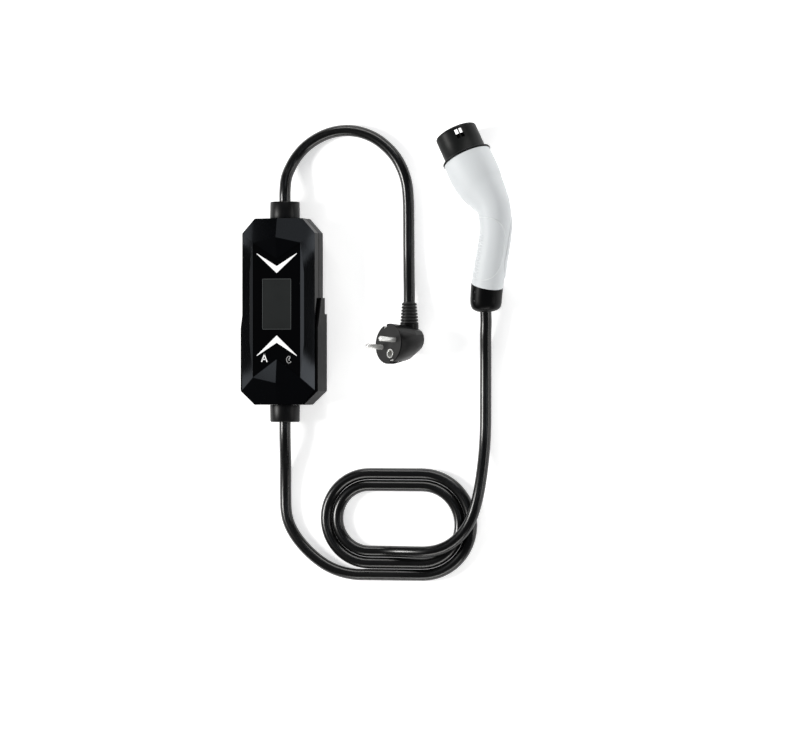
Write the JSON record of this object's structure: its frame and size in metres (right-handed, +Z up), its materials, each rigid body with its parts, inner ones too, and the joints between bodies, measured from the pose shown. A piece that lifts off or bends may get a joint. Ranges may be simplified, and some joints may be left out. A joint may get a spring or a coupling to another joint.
{
  "type": "portable electric vehicle charger",
  "caption": "Portable charger for an electric car: in-cable control box with a display, a round vehicle connector on a grip, a mains plug with earth contacts, and a coiled cord.",
  "frame": {"origin": "middle of the control box's flat back, which lies on the surface under the part", "axes": "+X across the control box towards the plug and the handset, +Y along the control box towards the end that the plug's cord leaves, +Z up out of the control box's front"},
  "size_m": [0.3105, 0.5093, 0.0674],
  "materials": {
    "case": "semi-gloss black",
    "grip": "satin black",
    "panel": "high-gloss black",
    "display": "smooth dark grey window",
    "light": "white light guide",
    "rubber": "matt black",
    "gland": "satin black",
    "cord": "semi-gloss black sheath",
    "board": "green circuit board",
    "relay": "moulded blue",
    "steel": "bright plated",
    "brass": "turned",
    "shell": "satin white",
    "head": "satin black",
    "carrier": "dark grey",
    "plug": "satin black"
  },
  "bodies": {
    "root": {"front_cover": "case", "rear_cover": "case", "case_gasket": "rubber", "case_screw_1": "steel", "case_screw_2": "steel", "case_screw_3": "steel", "case_screw_4": "steel", "side_grip_left": "grip", "side_grip_right": "grip", "face_panel": "panel", "display_screen": "display", "upper_light_bar": "light", "lower_light_bar": "light", "circuit_board": "board", "relay_1": "relay", "relay_2": "relay", "power_supply": "case", "current_sensor": "rubber", "terminal_block_in": "carrier", "terminal_block_out": "carrier", "upper_gland": "gland", "lower_gland": "gland", "upper_gland_nut": "steel", "lower_gland_nut": "steel", "handset_shell_upper": "shell", "handset_shell_lower": "shell", "handset_end_cap": "head", "cap_screw_1": "steel", "cap_screw_2": "steel", "connector_head": "head", "contact_carrier": "carrier", "contact_earth": "brass", "contact_line": "brass", "contact_neutral": "brass", "contact_pilot": "brass", "contact_proximity": "brass", "plug_body": "plug", "plug_pin_1": "steel", "plug_pin_2": "steel", "earth_strip_1": "steel", "earth_strip_2": "steel", "earth_sleeve": "steel", "plug_strain_relief": "rubber", "plug_cord": "cord", "coil_cord": "cord", "cord_coil": "cord", "handset_cord": "cord"}
  },
  "joints": []
}
